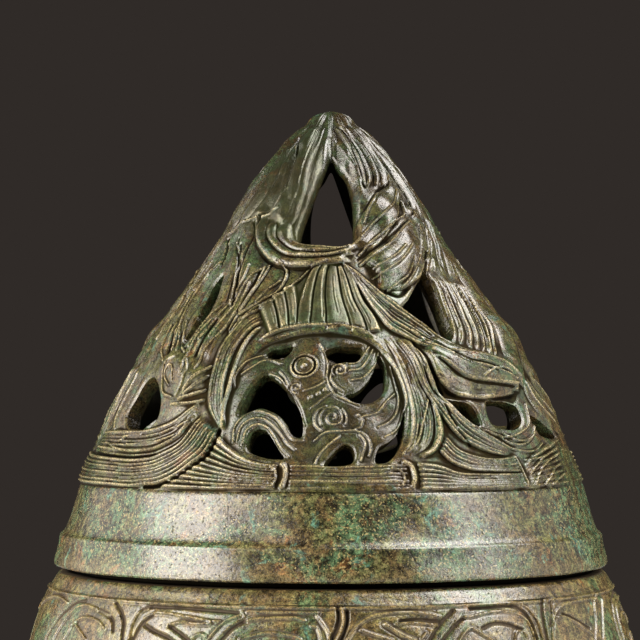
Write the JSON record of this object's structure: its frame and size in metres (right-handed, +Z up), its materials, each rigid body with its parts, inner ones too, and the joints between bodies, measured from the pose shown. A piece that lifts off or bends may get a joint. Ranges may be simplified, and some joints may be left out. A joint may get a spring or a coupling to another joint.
{
  "type": "hill censer",
  "caption": "Round bronze incense burner on a knopped stem and flared foot, with a tall pierced lid cast as overlapping hills that lifts off to reach the bowl and lets the smoke out.",
  "frame": {"origin": "centre of the foot's flat resting face, on the axis of the bowl", "axes": "+Z up along the axis, front (the side with the bird window that the picture shows) towards -Y, +X to the right of the front"},
  "size_m": [0.112, 0.112, 0.2085],
  "materials": {
    "lid_bronze": "patinated cast bronze, olive brown with green and rust-red patches and worn ridges",
    "bowl_bronze": "patinated cast bronze, browner, with worn raised lines",
    "foot_bronze": "patinated cast bronze",
    "rivet_iron": "rusted hand-forged iron",
    "burr_bronze": "sooty bronze"
  },
  "bodies": {
    "burner": {"bowl": "bowl_bronze", "stem": "foot_bronze", "foot": "foot_bronze", "tie_rivet": "rivet_iron", "bowl_burr": "burr_bronze", "foot_burr": "burr_bronze"},
    "lid": {"hill_lid": "lid_bronze"}
  },
  "joints": [
    {"name": "lid_lift", "type": "slide", "parent": "burner", "child": "lid", "axis": [0, 0, 1], "range_m": [0, 0.06]}
  ]
}
